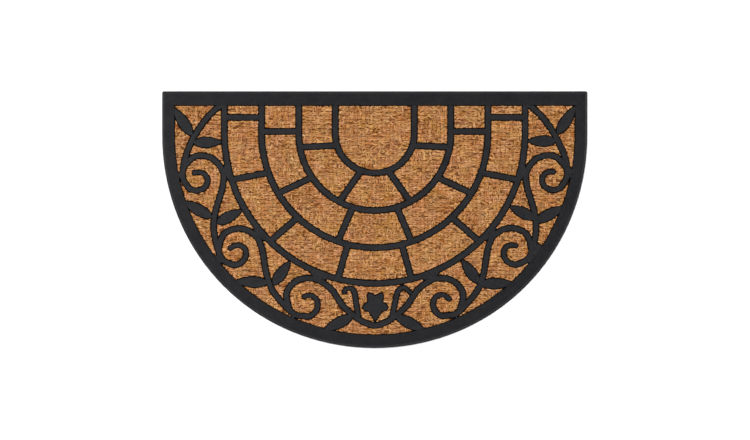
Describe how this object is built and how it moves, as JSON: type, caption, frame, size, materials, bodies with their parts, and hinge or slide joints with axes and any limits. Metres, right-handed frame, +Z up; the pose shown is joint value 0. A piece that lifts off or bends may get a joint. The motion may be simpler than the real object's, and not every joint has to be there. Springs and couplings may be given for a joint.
{
  "type": "half-round coir doormat",
  "caption": "Half-round doormat of woven coir in a flat rubber moulding, whose low grille shows brick arches inside a border of curling vines and leaves.",
  "frame": {"origin": "centre of the bounding box's bottom, on the floor under the mat", "axes": "+X along the straight edge, +Y towards the straight edge that lies at the door, +Z up"},
  "size_m": [0.748, 0.4518, 0.009],
  "materials": {
    "black_rubber": "matt, with fine mould marks",
    "woven_coir": "coarse woven fibre"
  },
  "bodies": {
    "root": {"rubber_moulding": "black_rubber", "coir_sheet": "woven_coir"}
  },
  "joints": []
}
